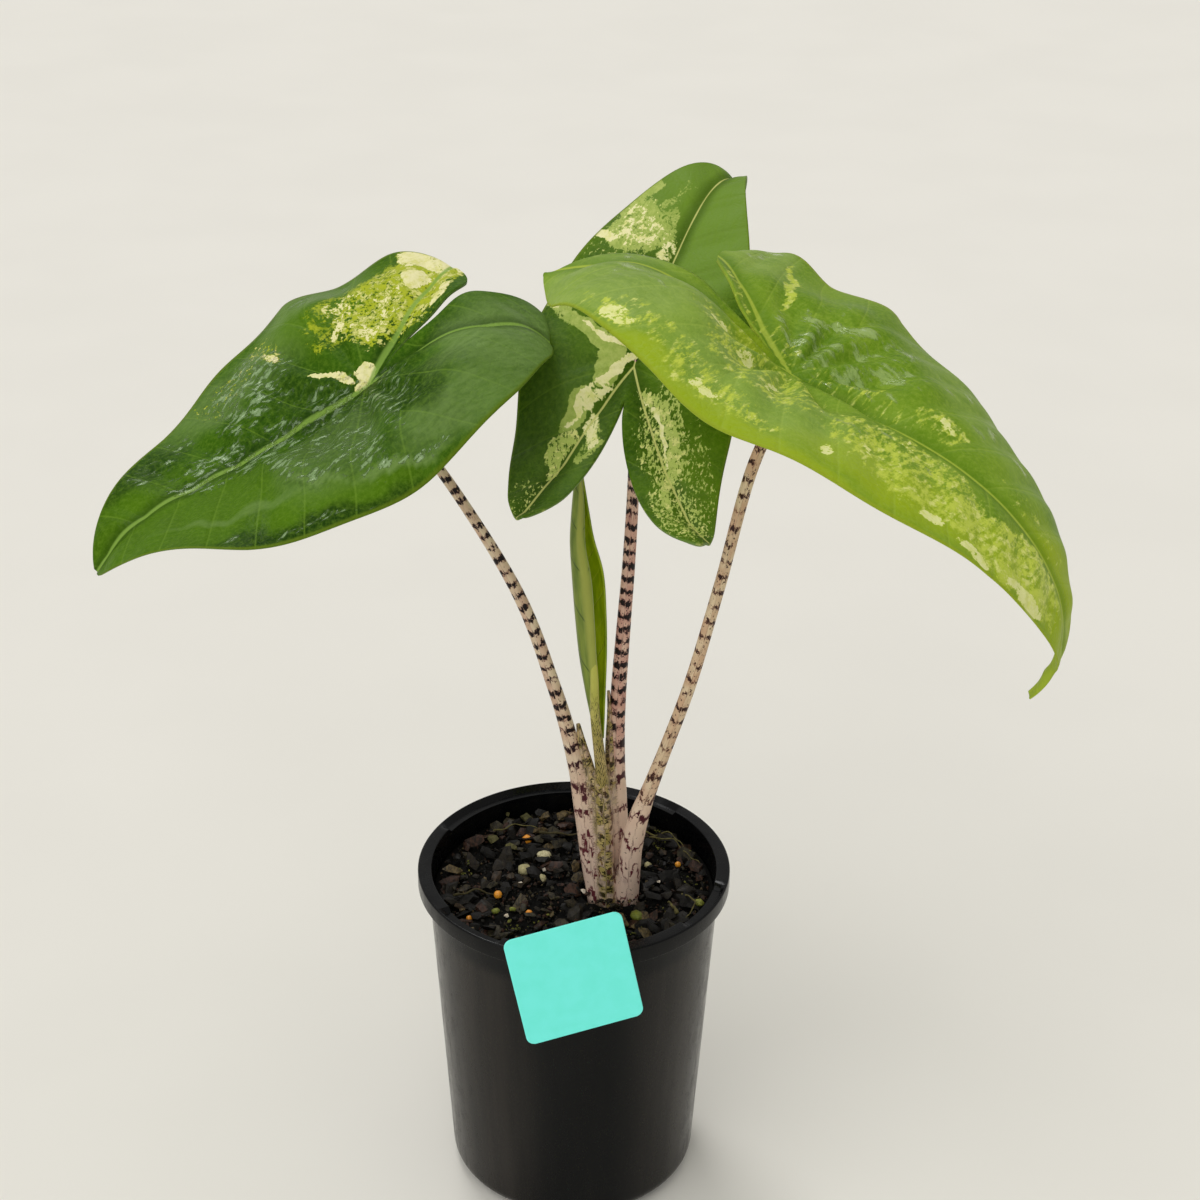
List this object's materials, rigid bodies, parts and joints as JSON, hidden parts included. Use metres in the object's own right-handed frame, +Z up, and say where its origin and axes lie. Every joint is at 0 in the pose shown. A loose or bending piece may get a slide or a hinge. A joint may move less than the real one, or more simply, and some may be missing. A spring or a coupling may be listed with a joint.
{
  "type": "potted zebrina alocasia",
  "caption": "Potted arrow-leaved aroid house plant: variegated leaves on dark-banded stalks and one rolled new leaf, in a black nursery pot of bark mix with a blank card at the rim.",
  "frame": {"origin": "middle of the pot's flat underside, on the surface that it stands on", "axes": "+Z up along the pot's axis; -Y is the side that the card is on and the picture was taken from; +X is to the right seen from there"},
  "size_m": [0.2933, 0.2197, 0.3653],
  "materials": {
    "pot_plastic": "satin",
    "bark_mix": "matte",
    "card_plastic": "satin",
    "corm_skin": "matte",
    "stalk": "satin",
    "stalk_young": "satin",
    "leaf_left": "gloss",
    "leaf_middle": "satin",
    "leaf_right": "gloss",
    "leaf_rolled": "satin"
  },
  "bodies": {
    "root": {"pot": "pot_plastic", "soil": "bark_mix", "tag": "card_plastic", "corm": "corm_skin", "petiole_left": "stalk", "petiole_middle": "stalk", "petiole_right": "stalk", "petiole_rolled": "stalk_young", "blade_left": "leaf_left", "blade_middle": "leaf_middle", "blade_right": "leaf_right", "blade_rolled": "leaf_rolled"}
  },
  "joints": []
}
